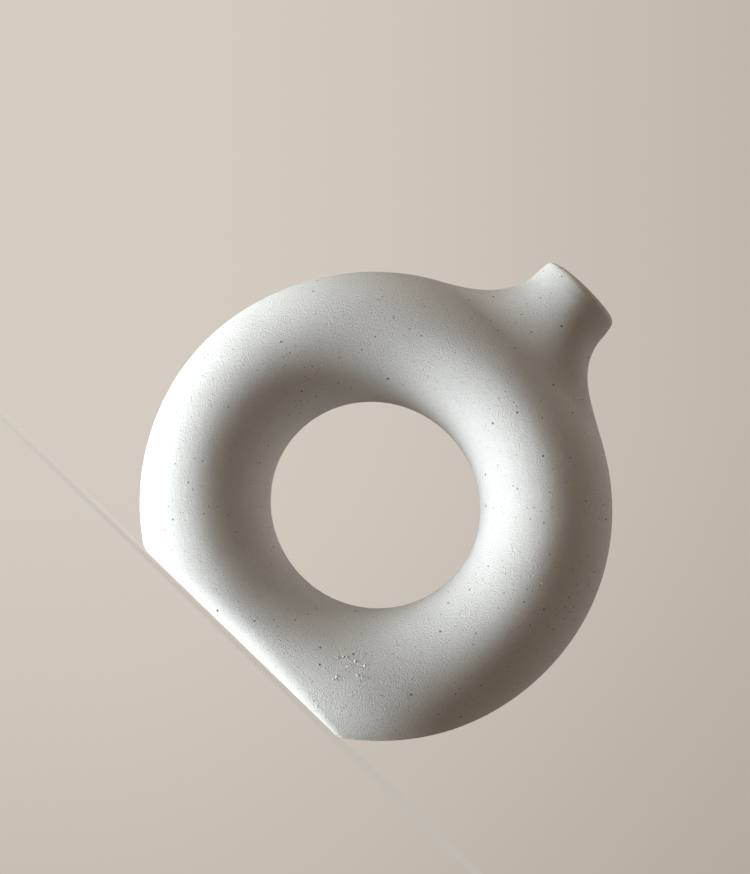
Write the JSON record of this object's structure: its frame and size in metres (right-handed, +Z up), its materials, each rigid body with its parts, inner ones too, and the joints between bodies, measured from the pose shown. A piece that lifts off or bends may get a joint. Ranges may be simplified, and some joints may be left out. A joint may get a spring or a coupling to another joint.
{
  "type": "donut vase",
  "caption": "Upright ring-shaped flower vase in speckled off-white stoneware, with a round hole through the middle, a flat foot and a short round neck.",
  "frame": {"origin": "middle of the flat foot, on the surface that the vase stands on", "axes": "+Z up through the neck, Y along the hole through the ring, X across the ring's width"},
  "size_m": [0.1988, 0.056, 0.2047],
  "materials": {
    "bare_clay": "fired, unglazed, fine grit",
    "clear_liner_glaze": "glossy clear glaze over cream clay",
    "speckled_sand_coat": "matte, fine sandy grain with dark specks"
  },
  "bodies": {
    "root": {"stoneware_body": "bare_clay", "liner_glaze": "clear_liner_glaze", "sand_coat": "speckled_sand_coat"}
  },
  "joints": []
}
